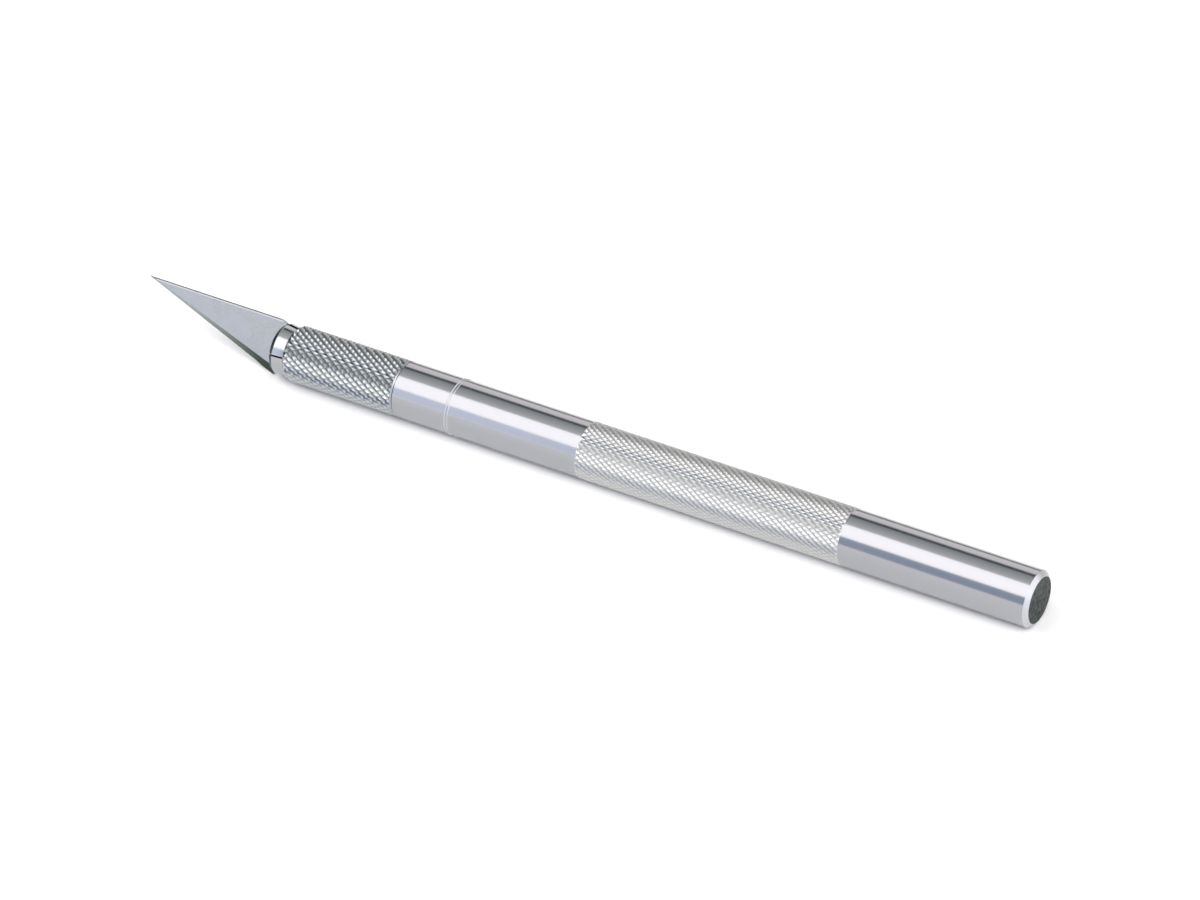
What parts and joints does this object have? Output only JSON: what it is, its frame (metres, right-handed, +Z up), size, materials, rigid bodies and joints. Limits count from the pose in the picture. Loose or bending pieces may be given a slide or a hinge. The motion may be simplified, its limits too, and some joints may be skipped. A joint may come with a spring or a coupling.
{
  "type": "hobby craft knife",
  "caption": "Round metal craft knife with a pointed blade held in a split collet, a knurled collar that closes it, and a long knurled handle.",
  "frame": {"origin": "middle of the overall box, on the surface the knife lies on", "axes": "+X along the knife towards the handle's rear end, +Z up, the blade's cutting edge down"},
  "size_m": [0.1582, 0.0092, 0.0092],
  "materials": {
    "blade_steel": "ground and lightly lapped carbon steel strip",
    "collet_metal": "bright turned steel",
    "collar_aluminium": "bright, diamond knurled",
    "bush_aluminium": "bright turned",
    "handle_aluminium": "bright turned, fine diamond knurl on the grip"
  },
  "bodies": {
    "handle": {"handle": "handle_aluminium", "front_bush": "bush_aluminium"},
    "collar": {"collar": "collar_aluminium"},
    "collet": {"collet": "collet_metal"},
    "blade": {"blade": "blade_steel"}
  },
  "joints": [
    {"name": "collar_turn", "type": "hinge", "parent": "handle", "child": "collar", "pos_m": [0, 0, 0.00458], "axis": [-1, 0, 0], "range_deg": [0, 540]},
    {"name": "collet_advance", "type": "slide", "parent": "collar", "child": "collet", "axis": [-1, 0, 0], "range_m": [0, 0.0012]},
    {"name": "blade_slide", "type": "slide", "parent": "collet", "child": "blade", "axis": [-1, 0, 0], "range_m": [0, 0.022]}
  ],
  "couplings": [
    {"joint": "collar_turn", "follows": "collet_advance", "rad_per_m": 7854}
  ]
}
